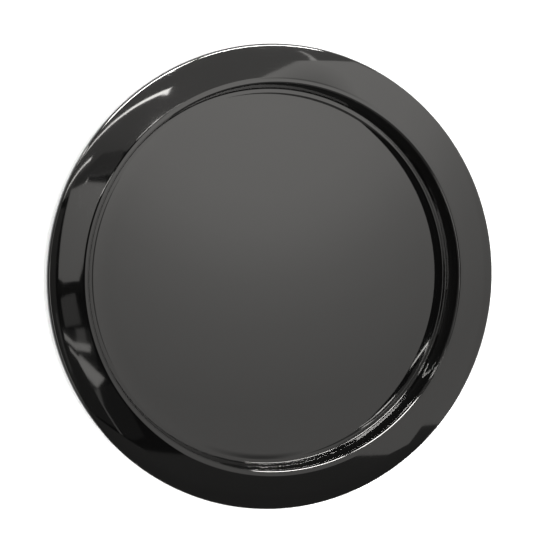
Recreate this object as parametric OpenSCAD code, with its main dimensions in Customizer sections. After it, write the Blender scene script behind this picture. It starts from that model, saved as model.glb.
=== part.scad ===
// Round serving tray, moulded in one piece: a flat well with a narrow ledge round it,
// a steep wall, and a broad rim that falls away outwards to a turned-down edge.
// The section is drawn once, as a path of straight runs and arcs from the centre
// out to the edge, thickened downwards by the shell and turned about Z.
// Origin: centre of the underside of the well floor, which is what the tray stands on.

/* [Overall] */
// Diameter over the turned-down edge
tray_d = 406; // [280:1:520]
// Thickness of the moulded shell
shell = 2; // [1.2:0.1:2.2]

/* [Well] */
// Radius of the hollow curve round the flat floor
cove_r = 42; // [20:1:60]
// Steepest climb of that curve, in degrees
cove_slope = 21.5; // [10:0.5:30]
// Width of the narrow level ledge at the foot of the wall
ledge_w = 1.8; // [0.5:0.1:6]
// Height from the ledge to the top of the lip
wall_h = 22; // [12:0.5:40]
// Climb of the wall, in degrees from level
wall_slope = 81; // [60:0.5:86]

/* [Rim] */
// Distance from the top of the lip to the outer edge
rim_w = 31; // [22:0.5:50]
// Fall of the rim next to the lip, in degrees
inner_fall = 8.6; // [4:0.1:9.4]
// Fall of the rim where it starts to droop, in degrees
middle_fall = 9.8; // [9.5:0.1:12]
// Fall of the rim at its outer edge, in degrees
outer_fall = 15; // [12.5:0.5:18]
// Radius of the droop towards the edge
droop_r = 140; // [60:5:160]
// Straight depth of the turned-down edge
skirt_h = 2.2; // [0.5:0.1:6]

/* [Rounding] */
// Rounding from the cove onto the ledge
shoulder_r = 2.5; // [2.4:0.1:5]
// Fillet from the ledge into the wall
foot_r = 1.2; // [0.5:0.1:3]
// Rounding at the top of the wall
lip_r = 3; // [2.4:0.1:6]
// Gentle crown on top of the lip
crown_r = 11; // [6:0.5:20]
// Rounding from the rim into the turned-down edge
brow_r = 2.6; // [2.4:0.1:5]

/* [Hidden] */

arc_step = 4;       // largest turn between two points of the section, in degrees
end_step = 15;      // the same for the small half round that ends the edge
crown_slope = 9;    // climb at which the tight lip gives way to the crown

// A stretch of the section is [radius or length, slope at its start, slope at its end].
// Equal slopes mean a straight run; unequal slopes mean an arc of that radius.
function straight(s) = s[1] == s[2];
function side(s) = sign(s[2] - s[1]);
function run(s) = straight(s)
    ? s[0] * cos(s[1])
    : side(s) * s[0] * (sin(s[2]) - sin(s[1]));
function climb(s) = straight(s)
    ? s[0] * sin(s[1])
    : side(s) * s[0] * (cos(s[1]) - cos(s[2]));
function total(values) = values * [for (v = values) 1];

cove = [cove_r, 0, cove_slope];
shoulder = [shoulder_r, cove_slope, 0];
ledge = [ledge_w, 0, 0];
foot = [foot_r, 0, wall_slope];
lip = [lip_r, wall_slope, crown_slope];
crown_in = [crown_r, crown_slope, 0];
crown_out = [crown_r, 0, -inner_fall];
droop = [droop_r, -middle_fall, -outer_fall];
brow = [brow_r, -outer_fall, -90];
skirt = [skirt_h, -90, -90];

// The wall, the inner rim and the floor take up whatever the other stretches leave.
wall_climb = wall_h - climb(foot) - climb(lip) - climb(crown_in);
wall = [wall_climb / sin(wall_slope), wall_slope, wall_slope];
rim_run = rim_w - run(crown_out) - run(droop) - run(brow);
rim_r = rim_run / (sin(middle_fall) - sin(inner_fall));
rim = [rim_r, -inner_fall, -middle_fall];
bowl = [cove, shoulder, ledge, foot, wall, lip, crown_in];
floor_r = tray_d / 2 - rim_w - total([for (s = bowl) run(s)]);
floor_line = [floor_r, 0, 0];

section = concat([floor_line], bowl, [crown_out, rim, droop, brow, skirt]);

// Points along one stretch as [x, z, slope], without its first point.
function steps(s) = straight(s) ? 1 : ceil(abs(s[2] - s[1]) / arc_step);
function part_way(s, f) = straight(s)
    ? [s[0] * f, s[1], s[1]]
    : [s[0], s[1], s[1] + (s[2] - s[1]) * f];
function along(s, x, z) = [
    for (k = [1:steps(s)])
        let (p = part_way(s, k / steps(s)))
            [x + run(p), z + climb(p), p[2]]
];

// Points along stretch i and all that follow it, started at x, z.
function walk(i, x, z) = i == len(section)
    ? []
    : concat(
        along(section[i], x, z),
        walk(i + 1, x + run(section[i]), z + climb(section[i]))
    );

top_line = concat([[0, shell, 0]], walk(0, 0, shell));
under_line = [for (p = top_line) [p[0] + shell * sin(p[2]), p[1] - shell * cos(p[2])]];

// The free end of the turned-down edge is a half round as thick as the shell.
edge_end = top_line[len(top_line) - 1];
edge_round = [
    for (a = [-end_step:-end_step:-180 + end_step])
        [
            edge_end[0] - shell / 2 + shell / 2 * cos(a),
            edge_end[1] + shell / 2 * sin(a)
        ]
];

outline = concat(
    [for (p = top_line) [p[0], p[1]]],
    edge_round,
    [for (i = [len(under_line) - 1:-1:0]) under_line[i]]
);

module tray()
{
    color([0.03, 0.03, 0.033])
        rotate_extrude($fn = 240)
            polygon(outline);
}

tray();
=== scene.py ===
# %% [markdown]
# # A round catering tray in gloss black plastic
# One moulding, one finish: everything the eye reads comes from the curve of the section and
# from what the gloss mirrors. So this lesson has three parts: the shape, turned from one
# section; the plastic, with the small unevenness of a moulded skin; and the studio, because a
# black mirror shows the lamps and cards around it more than it shows itself.

# %% Load the frame
import math

import bpy
from mathutils import Matrix, Vector


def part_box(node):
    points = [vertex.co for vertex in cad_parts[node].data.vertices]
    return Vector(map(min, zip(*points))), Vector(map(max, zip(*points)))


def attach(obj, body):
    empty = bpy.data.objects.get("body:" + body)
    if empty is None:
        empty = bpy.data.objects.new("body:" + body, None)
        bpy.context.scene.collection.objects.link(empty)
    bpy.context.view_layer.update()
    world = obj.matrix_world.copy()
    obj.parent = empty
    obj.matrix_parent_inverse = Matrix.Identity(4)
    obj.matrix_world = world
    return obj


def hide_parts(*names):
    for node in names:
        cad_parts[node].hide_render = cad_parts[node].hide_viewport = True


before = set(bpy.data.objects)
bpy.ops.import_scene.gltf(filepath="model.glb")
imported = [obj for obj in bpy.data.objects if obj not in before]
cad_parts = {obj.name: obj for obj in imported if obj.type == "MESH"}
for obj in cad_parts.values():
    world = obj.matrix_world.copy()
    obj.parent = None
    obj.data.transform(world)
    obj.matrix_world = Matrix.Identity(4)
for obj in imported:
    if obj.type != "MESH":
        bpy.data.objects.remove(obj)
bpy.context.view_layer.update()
low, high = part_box("tray")
MM = 0.001
tray_r = round((high.x - low.x) / 2, 4)
print("tray radius", tray_r, "m, height", round(high.z - low.z, 4), "m")

# %% [markdown]
# ## The section
# A pressed or moulded tray is drawn by its section: a line from the centre out to the edge.
# It could be a spline with control points, but a toolmaker draws straight runs and arcs that
# meet without a corner, and a gloss surface shows the difference. Each stretch here is
# (radius or length, slope at its start, slope at its end), in millimetres and degrees, and
# two stretches always share the slope where they meet.

# %% Stretches of the section, from the flat well out to the turned-down edge
SHELL = 2.0                      # thickness of the moulding
RIM_W = 31.0                     # from the top of the lip to the outer edge
WALL_H = 22.0                    # from the ledge to the top of the lip
COVE_SLOPE = 21.5                # where the cove meets the shoulder
WALL_SLOPE = 81.0
LIP_SLOPE = 9.0                  # where the tight lip meets the gentle crown
RIM_START = -8.6                 # the rim falls away, so its slopes are negative
RIM_END = -9.8
EDGE_SLOPE = -15.0
STRAIGHT_DOWN = -90.0


def rise(slope):
    return math.sin(math.radians(slope))


def reach(slope):
    return math.cos(math.radians(slope))


def step_along(stretch, part=1.0):
    """Run, climb and slope a part of the way along one stretch."""
    size, start, end = stretch
    if start == end:
        return size * part * reach(start), size * part * rise(start), start
    slope = start + (end - start) * part
    side = math.copysign(size, end - start)
    return side * (rise(slope) - rise(start)), side * (reach(start) - reach(slope)), slope


cove = (42.0, 0.0, COVE_SLOPE)
shoulder = (2.5, COVE_SLOPE, 0.0)
ledge = (1.8, 0.0, 0.0)
foot = (1.2, 0.0, WALL_SLOPE)
lip = (3.0, WALL_SLOPE, LIP_SLOPE)
crown_in = (11.0, LIP_SLOPE, 0.0)
crown_out = (11.0, 0.0, RIM_START)
droop = (140.0, RIM_END, EDGE_SLOPE)
brow = (2.6, EDGE_SLOPE, STRAIGHT_DOWN)
skirt = (2.2, STRAIGHT_DOWN, STRAIGHT_DOWN)

wall_climb = WALL_H - sum(step_along(s)[1] for s in (foot, lip, crown_in))
wall = (wall_climb / rise(WALL_SLOPE), WALL_SLOPE, WALL_SLOPE)
rim_run = RIM_W - sum(step_along(s)[0] for s in (crown_out, droop, brow))
rim = (rim_run / (rise(RIM_START) - rise(RIM_END)), RIM_START, RIM_END)
bowl = (cove, shoulder, ledge, foot, wall, lip, crown_in)
floor_r = tray_r / MM - RIM_W - sum(step_along(s)[0] for s in bowl)
print("flat floor radius", round(floor_r, 2), "mm, wall length", round(wall[0], 2), "mm")

# %% [markdown]
# ## Turning the section
# The Screw modifier would turn the section too, but the mesh is written out here so that each
# point carries the exact normal of the curve it came from. On a mirror finish an averaged
# normal bends the reflection beside every change of curve. Arcs are cut finely on the top,
# which is seen, and more coarsely underneath.

# %% Points of the top skin, and of the underside one shell thickness away
def top_skin(max_turn):
    points = [(0.0, SHELL, 0.0), (floor_r, SHELL, 0.0)]
    for stretch in bowl + (crown_out, rim, droop, brow, skirt):
        x, z = points[-1][:2]
        cuts = max(1, math.ceil(abs(stretch[2] - stretch[1]) / max_turn))
        if stretch in (cove, rim, droop):
            cuts = max(cuts, 12)
        for k in range(1, cuts + 1):
            run, climb, slope = step_along(stretch, k / cuts)
            points.append((x + run, z + climb, slope))
    return points


def outline(fine, coarse):
    """Closed section as (x, z, slope of the outward normal), top skin first."""
    top = top_skin(fine)
    under = top_skin(coarse)
    edge_x, edge_z, _ = top[-1]
    half = SHELL / 2
    bead = [(edge_x - half + half * reach(a), edge_z - half * rise(a), -90 - a)
            for a in range(20, 180, 20)]
    back = [(x + SHELL * rise(s), z - SHELL * reach(s), s - 180) for x, z, s in reversed(under)]
    return top + bead + back


SEGMENTS = 480                   # 2.7 mm apart at the edge, 0.004 mm from a true circle
TURN_TOP, TURN_UNDER = 2.5, 6.0  # most degrees of turn between two points of an arc
section = outline(TURN_TOP, TURN_UNDER)
print("section points", len(section))


def turn(name, points):
    verts = [(0.0, 0.0, points[0][1]), (0.0, 0.0, points[-1][1])]
    normals = [(0.0, 0.0, 1.0), (0.0, 0.0, -1.0)]
    for x, z, slope in points[1:-1]:
        for k in range(SEGMENTS):
            a = 2 * math.pi * k / SEGMENTS
            verts.append((x * math.cos(a), x * math.sin(a), z))
            normals.append((-rise(slope) * math.cos(a), -rise(slope) * math.sin(a),
                            reach(slope)))
    rings = len(points) - 2
    faces = []
    for k in range(SEGMENTS):
        n = (k + 1) % SEGMENTS
        faces.append((0, 2 + k, 2 + n))
        for r in range(rings - 1):
            a, b = 2 + r * SEGMENTS, 2 + (r + 1) * SEGMENTS
            faces.append((a + k, b + k, b + n, a + n))
        last = 2 + (rings - 1) * SEGMENTS
        faces.append((last + k, 1, last + n))
    mesh = bpy.data.meshes.new(name)
    mesh.from_pydata([[c * MM for c in v] for v in verts], [], faces)
    mesh.shade_smooth()
    mesh.normals_split_custom_set_from_vertices(normals)
    piece = bpy.data.objects.new(name, mesh)
    bpy.context.scene.collection.objects.link(piece)
    return piece


tray = turn("tray_moulding", section)
print("faces", len(tray.data.polygons))

# %% [markdown]
# ## The plastic
# Catering trays like this are moulded in black polystyrene against a polished tool. The pigment
# takes nearly all the light that enters, so the colour is almost black, and what is left is
# the mirror of a clear skin: about 5 per cent head on, as its index of 1.59 gives, and more
# towards grazing. The skin isn't perfect. It sinks and swells by a micron or so over a few
# millimetres, it is a touch duller in patches, and handling leaves fine hairlines.

# %% Small helpers for colours and nodes
def srgb(code):
    """Linear RGBA of an sRGB hex code."""
    parts = [int(code[i:i + 2], 16) / 255 for i in (0, 2, 4)]
    return [c / 12.92 if c <= 0.04045 else ((c + 0.055) / 1.055) ** 2.4 for c in parts] + [1.0]


def put(tree, kind, settings=None, **links):
    """Adds a node, sets what is given, and links or fills its inputs by name."""
    node = tree.nodes.new(kind)
    for key, value in (settings or {}).items():
        setattr(node, key, value)
    for key, value in links.items():
        name = key.replace("_", " ")
        socket = node.inputs[int(key[1:])] if key[1:].isdigit() else node.inputs[name]
        if isinstance(value, bpy.types.NodeSocket):
            tree.links.new(value, socket)
        else:
            socket.default_value = value
    return node


def empty_material(name):
    material = bpy.data.materials.new(name)
    material.use_nodes = True
    material.node_tree.nodes.clear()
    return material, material.node_tree


# %% Moulded black polystyrene
def moulded_polystyrene():
    material, tree = empty_material("polystyrene_moulded_gloss_black")
    place = put(tree, "ShaderNodeTexCoord").outputs["Object"]

    # Orange peel: swells about 9 mm across, from the way the melt shrinks behind the skin.
    swell = put(tree, "ShaderNodeTexNoise", Vector=place, Scale=1 / 0.009, Detail=1.0)
    # Finer ripple about 2 mm across, left by the polishing of the tool.
    ripple = put(tree, "ShaderNodeTexNoise", Vector=place, Scale=1 / 0.002, Detail=2.0)
    soft = put(tree, "ShaderNodeBump", Height=swell.outputs["Fac"], Strength=1.0,
               Distance=0.000004)
    fine = put(tree, "ShaderNodeBump", Height=ripple.outputs["Fac"], Strength=1.0,
               Distance=0.0000004, Normal=soft.outputs["Normal"])

    # Patches some 40 mm across where the skin is a little duller.
    patch = put(tree, "ShaderNodeTexNoise", Vector=place, Scale=1 / 0.04, Detail=3.0)
    dull = put(tree, "ShaderNodeMapRange", Value=patch.outputs["Fac"], From_Min=0.3,
               From_Max=0.7, To_Min=0.035, To_Max=0.055)

    # Hairlines from stacking and wiping, some 15 mm long: slightly duller than the skin.
    wiped = put(tree, "ShaderNodeMapping", Vector=place, Rotation=(0.0, 0.0, 0.6),
                Scale=(60.0, 2000.0, 60.0))
    lines = put(tree, "ShaderNodeTexNoise", Vector=wiped.outputs["Vector"], Scale=1.0, Detail=1.0)
    hair = put(tree, "ShaderNodeMapRange", Value=lines.outputs["Fac"], From_Min=0.66,
               From_Max=0.72, To_Max=0.03)
    rough = put(tree, "ShaderNodeMath", {"operation": "ADD"}, i0=dull.outputs["Result"],
                i1=hair.outputs["Result"])

    shade = put(tree, "ShaderNodeMixRGB", Fac=patch.outputs["Fac"], Color1=srgb("020202"),
                Color2=srgb("040404"))
    plastic = put(tree, "ShaderNodeBsdfPrincipled", Base_Color=shade.outputs["Color"],
                  Roughness=rough.outputs["Value"], IOR=1.59, Normal=fine.outputs["Normal"])
    put(tree, "ShaderNodeOutputMaterial", Surface=plastic.outputs["BSDF"])
    return material


tray.data.materials.append(moulded_polystyrene())
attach(tray, "root")
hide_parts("tray")

# %% [markdown]
# ## The table top
# A pale floor, bright enough to read as clean white. It is also what the turned-down edge
# mirrors, so its brightness sets the thin grey line round the tray.

# %% Pale floor
def matt_white():
    material = bpy.data.materials.new("painted_board_matt_white")
    material.use_nodes = True
    shader = material.node_tree.nodes["Principled BSDF"]
    shader.inputs["Base Color"].default_value = srgb("f4f4f3")
    shader.inputs["Roughness"].default_value = 0.9
    shader.inputs["Specular IOR Level"].default_value = 0.0
    return material


def sheet(name, corners):
    mesh = bpy.data.meshes.new(name)
    mesh.from_pydata(corners, [], [tuple(range(len(corners)))])
    piece = bpy.data.objects.new(name, mesh)
    bpy.context.scene.collection.objects.link(piece)
    return piece


FLOOR_HALF = 6.0
table = sheet("table_top", [(x * FLOOR_HALF, y * FLOOR_HALF, 0)
                            for x, y in ((-1, -1), (1, -1), (1, 1), (-1, 1))])
table.data.materials.append(matt_white())

# %% [markdown]
# ## The studio
# A black mirror needs something to mirror. The main light is an even soft box on the right of
# the tray, leaning at about 56 degrees, and it fills the well and the right of the rim with
# grey. A lit wall stands beyond it, and a low card beside the tray lights the right edge. Two
# bright boxes behind the tray draw the white lines on the lip and along the back edge, and a
# bent lamp stands on the left. The rest hangs overhead: strips, pale cards, dark gaps, and the
# stand that holds the camera, with its plates and bars. What hangs is made of straight bars
# and bows with a few sizes each. All of it is hidden from the camera, so it never stands in
# the way of another view.

# %% Overhead lamp, which whitens the floor and isn't mirrored
def lamp(name, strength, spread):
    """A sun lamp from straight above, its spread in degrees."""
    light = bpy.data.lights.new(name, "SUN")
    light.energy = strength
    light.angle = math.radians(spread)
    piece = bpy.data.objects.new(name, light)
    piece.visible_glossy = False
    bpy.context.scene.collection.objects.link(piece)


OVERHEAD_STRENGTH, OVERHEAD_SPREAD = 5.5, 60
lamp("overhead", OVERHEAD_STRENGTH, OVERHEAD_SPREAD)


# %% Cards that the gloss mirrors
def for_reflections_only(piece):
    piece.visible_camera = False
    piece.visible_diffuse = False
    piece.visible_shadow = False


def glowing(name, corners, strength):
    """A glowing card that only reflections see, as a polygon in metres."""
    piece = sheet(name, corners)
    material, tree = empty_material(name)
    glow = put(tree, "ShaderNodeEmission", Color=srgb("ffffff"), Strength=strength)
    put(tree, "ShaderNodeOutputMaterial", Surface=glow.outputs["Emission"])
    piece.data.materials.append(material)
    for_reflections_only(piece)


# %% Outlines of flat cards: a straight bar, and a bow bent round a centre
def bar(start, end, width, width_end=None):
    """Four corners of a bar from start to end, in metres."""
    a, b = Vector(start), Vector(end)
    side = Vector((a.y - b.y, b.x - a.x)).normalized()
    first, last = side * width / 2, side * (width if width_end is None else width_end) / 2
    return [tuple(c) for c in (a + first, a - first, b - last, b + last)]


def bow(centre, radius, first, last, width, width_end, cuts=12):
    """A band along an arc from the first angle to the last, in metres and degrees."""
    outer, inner = [], []
    for k in range(cuts + 1):
        angle = first + (last - first) * k / cuts
        half = (width + (width_end - width) * k / cuts) / 2
        for edge, r in ((outer, radius + half), (inner, radius - half)):
            edge.append((centre[0] + r * reach(angle), centre[1] + r * rise(angle)))
    return outer + inner[::-1]


# %% The soft box on the right, the lit wall beyond it and a low card beside the tray
SOFT_GLOW = 2.35
BOX_NEAR_X = 0.12
BOX_NEAR_HEIGHT = 1.15
BOX_FALL = 1.5                   # how far the box drops for each metre to the right


def box_height(x):
    return BOX_NEAR_HEIGHT - BOX_FALL * (x - BOX_NEAR_X)


glowing("soft_box_right", [(x, y, box_height(x)) for x, y in (
    (0.10, -0.55), (0.527, -0.42), (0.527, 0.59), (0.10, 0.45))], SOFT_GLOW)
for name, x, near, far, low_z, top_z, glow in (
        ("wall_right", 3.0, -1.75, 2.8, 2.45, 5.2, SOFT_GLOW),
        ("card_low_right", 0.5, -0.4, 0.6, 0.0, 0.315, 2.2)):
    glowing(name, [(x, near, low_z), (x, far, low_z), (x, far, top_z), (x, near, top_z)], glow)

# %% The two bright boxes behind the tray
BACK_FOOT_Y, BACK_TOP_Y, BACK_FOOT_Z = 1.3, 1.25, 1.16
for name, left, right_end, top, glow in (("back_box_left", -0.92, -0.02, 2.0, 85.0),
                                         ("back_box_right", 0.045, 0.82, 1.5, 150.0)):
    glowing(name, [(left, BACK_FOOT_Y, BACK_FOOT_Z), (right_end, BACK_FOOT_Y, BACK_FOOT_Z),
                   (right_end, BACK_TOP_Y, top), (left, BACK_TOP_Y, top)], glow)

# %% A bent lamp on the left, seen twice over: in the lip and, through the cove, in the wall
LEFT_LAMP_X, LEFT_LAMP_GLOW = -1.1, 45.0
for name, outline_yz in (("lamp_left_tube", bar((0.96, 0.50), (0.88, 1.00), 0.05)),
                         ("lamp_left_head", bar((0.88, 0.98), (0.72, 1.05), 0.09, 0.01)),
                         ("lamp_left_foot", bar((0.96, 0.51), (0.79, 0.27), 0.05))):
    glowing(name, [(LEFT_LAMP_X, y, z) for y, z in outline_yz], LEFT_LAMP_GLOW)

# %% What hangs overhead, as (name, glow, outline in metres at that height)
LAYER_GAP = 0.002                # each thing hangs just under the one before


def hang(height, things):
    for layer, (name, glow, corners) in enumerate(things):
        glowing(name, [(x, y, height - LAYER_GAP * layer) for x, y in corners], glow)


HIGH, LOW = 1.5, 0.9             # metres above the table
hang(HIGH, (
    ("gap_overhead", 0.05, bar((-0.36, -0.74), (-0.36, 0.32), 1.0)),
    ("gap_beyond", 0.05, bar((0.14, 0.36), (-0.14, 0.36), 0.09)),
    ("card_far_near", 9.0, bar((-1.07, -1.05), (-1.07, 0.05), 0.48)),
    ("card_far_back", 4.0, bar((-1.09, 0.05), (-1.09, 0.45), 0.42)),
    ("strip_long", 18.0, bow((-0.14, 0.11), 0.574, 72, 145, 0.045, 0.003)),
    ("strip_short", 18.0, bow((-0.395, 0.19), 0.265, 85, 156, 0.02, 0.008)),
    ("strip_middle", 30.0, bar((0.05, 0.178), (-0.28, 0.243), 0.014)),
    ("strip_middle_end", 30.0, bar((-0.28, 0.236), (-0.305, 0.31), 0.012)),
    ("strip_lip_end", 25.0, bar((0.11, 0.545), (0.01, 0.515), 0.02)),
    ("strip_lip", 25.0, bar((0.02, 0.50), (-0.05, 0.41), 0.06, 0.04)),
    ("strip_back", 4.0, bow((0.40, 0.93), 0.29, -26, 26, 0.04, 0.02)),
    ("gap_left", 0.45, bar((-0.14, 0.37), (-0.49, 0.36), 0.08)),
))
hang(LOW, (
    ("card_left", 2.5, bar((-0.275, 0.22), (-0.32, -0.045), 0.22, 0.12)),
    ("stand_column", 0.4, bow((0.69, -0.01), 1.144, 170, 205, 0.08, 0.07)),
    ("stand_light", 0.9, bar((-0.43, -0.14), (-0.39, -0.33), 0.02)),
    ("stand_bar", 0.1, bar((-0.24, -0.055), (-0.395, -0.065), 0.03)),
    ("stand_plate", 0.9, bar((-0.26, -0.11), (-0.35, -0.13), 0.08)),
    ("stand_dark", 0.25, bar((-0.30, -0.17), (-0.28, -0.47), 0.17)),
    ("stand_side", 0.2, bar((-0.19, -0.31), (-0.12, -0.465), 0.08)),
    ("stand_edge", 1.6, bar((-0.215, -0.32), (-0.18, -0.48), 0.015)),
    ("bar_patch", 1.4, bar((-0.255, -0.16), (-0.25, -0.205), 0.03)),
    ("bar_left", 5.0, bar((-0.37, -0.20), (-0.225, -0.21), 0.02)),
    ("bar_right", 5.0, bar((-0.34, -0.23), (-0.26, -0.245), 0.015)),
    ("bar_right_end", 5.0, bar((-0.27, -0.24), (-0.20, -0.30), 0.03, 0.04)),
))

# %% [markdown]
# ## Painted shade on the table and over the tray, and a net
# A dark sheet on the table at the near side is painted shade: it stands in for the shaded table
# that the turned-down edge mirrors there, so the edge stays dark. A paler one lies on the left.
# A sheet just above the tray is painted shade too: it takes out more than half the light at the
# near side, less and less towards the back. A small net in front of the soft box leaves a soft
# dark place in it. Like the cards, they act on reflections only.

# %% Sheets on the table: painted shade at the near side, and a paler one on the left
TABLE_SHEET_INNER, TABLE_SHEET_OUTER, TABLE_SHEET_Z, TABLE_SHEET_STEP = 0.17, 0.9, 0.0005, 12
# The near sheet is painted shade, seen only in reflections: the shaded table under the near edge.
for name, first, last, glow in (("painted_shade_table_near", 222, 330, 0.12), ("cloth_left", 150, 222, 1.25)):
    angles = range(first, last + 1, TABLE_SHEET_STEP)
    glowing(name, [(r * reach(a), r * rise(a), TABLE_SHEET_Z)
                   for r, order in ((TABLE_SHEET_INNER, angles), (TABLE_SHEET_OUTER, angles[::-1]))
                   for a in order], glow)


# %% Graded sheets, by the distance from a point: painted shade over the tray, and a net in front of the soft box
def graded_sheet(name, corners, centre, stretch, passes, warmth):
    """passes: (distance in metres, part of the light let through), nearest first."""
    piece = sheet(name, corners)
    grading_material, tree = empty_material(name)
    place = put(tree, "ShaderNodeTexCoord").outputs["Object"]
    off = put(tree, "ShaderNodeVectorMath", {"operation": "SUBTRACT"}, i0=place, i1=centre)
    scaled = put(tree, "ShaderNodeVectorMath", {"operation": "MULTIPLY"},
                 i0=off.outputs["Vector"], i1=(stretch, 1.0, 1.0))
    away = put(tree, "ShaderNodeVectorMath", {"operation": "LENGTH"},
               i0=scaled.outputs["Vector"])
    reach_m = passes[-1][0]
    part = put(tree, "ShaderNodeMapRange", Value=away.outputs["Value"], From_Max=reach_m)
    ramp = put(tree, "ShaderNodeValToRGB", Fac=part.outputs["Result"])
    while len(ramp.color_ramp.elements) < len(passes):
        ramp.color_ramp.elements.new(0.5)
    for stop, (distance, through) in zip(ramp.color_ramp.elements, passes):
        stop.position = distance / reach_m
        stop.color = (through, through * (1 - warmth), through * (1 - 2.5 * warmth), 1)
    sieve = put(tree, "ShaderNodeBsdfTransparent", Color=ramp.outputs["Color"])
    put(tree, "ShaderNodeOutputMaterial", Surface=sieve.outputs["BSDF"])
    piece.data.materials.append(grading_material)
    for_reflections_only(piece)


SHADE_SHEET_Z = 0.031                    # just clear of the lip
SHADE_SHEET_HALF = 0.3
# Painted shade over the tray: a sheet seen only in reflections that lets less light through
# towards the near side, so the mirror reads darker at the front.
graded_sheet("painted_shade_over_tray", [(x * SHADE_SHEET_HALF, y * SHADE_SHEET_HALF, SHADE_SHEET_Z)
                      for x, y in ((-1, -1), (1, -1), (1, 1), (-1, 1))],
    (0.0, 0.25, SHADE_SHEET_Z), 1.22,
    ((0.0, 1.0), (0.08, 1.0), (0.18, 0.91), (0.21, 0.84), (0.26, 0.66), (0.30, 0.565),
     (0.37, 0.46), (0.50, 0.44)), 0.02)
NET_GAP = 0.02                   # between the soft box and the net in front of it
graded_sheet("net_on_box", [(x, y, box_height(x) - NET_GAP)
                   for x, y in ((0.12, 0.08), (0.54, 0.08), (0.54, 0.52), (0.12, 0.52))],
    (0.33, 0.345, 0.82), 1.0, ((0.0, 0.40), (0.05, 0.45), (0.11, 0.75), (0.17, 1.0)), 0.0)

# %% The room beyond
world = bpy.data.worlds.new("studio")
bpy.context.scene.world = world
world.use_nodes = True
tree = world.node_tree
tree.nodes.clear()
seen = put(tree, "ShaderNodeLightPath").outputs["Is Camera Ray"]
place = put(tree, "ShaderNodeTexCoord").outputs["Generated"]
axes = put(tree, "ShaderNodeSeparateXYZ", Vector=place)
room = put(tree, "ShaderNodeMapRange", Value=axes.outputs["Y"], From_Min=-0.5, From_Max=0.3,
           To_Min=0.38, To_Max=0.80)
dim = put(tree, "ShaderNodeBackground", Color=srgb("ffffff"), Strength=room.outputs["Result"])
pale = put(tree, "ShaderNodeBackground", Color=srgb("ffffff"), Strength=1.0)
both = put(tree, "ShaderNodeMixShader", Fac=seen, i1=dim.outputs[0], i2=pale.outputs[0])
put(tree, "ShaderNodeOutputWorld", Surface=both.outputs[0])
bpy.context.scene.view_settings.view_transform = "Standard"

# %% [markdown]
# ## The camera
# A long lens, two metres off and a little left of straight above, so the circle reads nearly
# true and the far side of the lip shows its inner face.

# %% Camera
TARGET = Vector((0.0, 0.0, 0.0193))  # on the axis, between the well and the lip
CAMERA_DISTANCE = 2.0
TOWARDS_CAMERA = Vector((-0.3001, 0.0432, 0.9529)).normalized()
camera = bpy.data.objects.new("camera", bpy.data.cameras.new("camera"))
right = Vector((0, 1, 0)).cross(TOWARDS_CAMERA).normalized()
up = TOWARDS_CAMERA.cross(right)
camera.matrix_world = Matrix.Translation(TARGET + CAMERA_DISTANCE * TOWARDS_CAMERA) @ Matrix(
    (right, up, TOWARDS_CAMERA)).transposed().to_4x4()
camera.data.sensor_width = 36
camera.data.lens = 155.0
camera.data.shift_x = -0.018
camera.data.shift_y = 0.020
bpy.context.scene.collection.objects.link(camera)
bpy.context.scene.camera = camera
print("camera", [round(c, 3) for c in camera.matrix_world.translation])
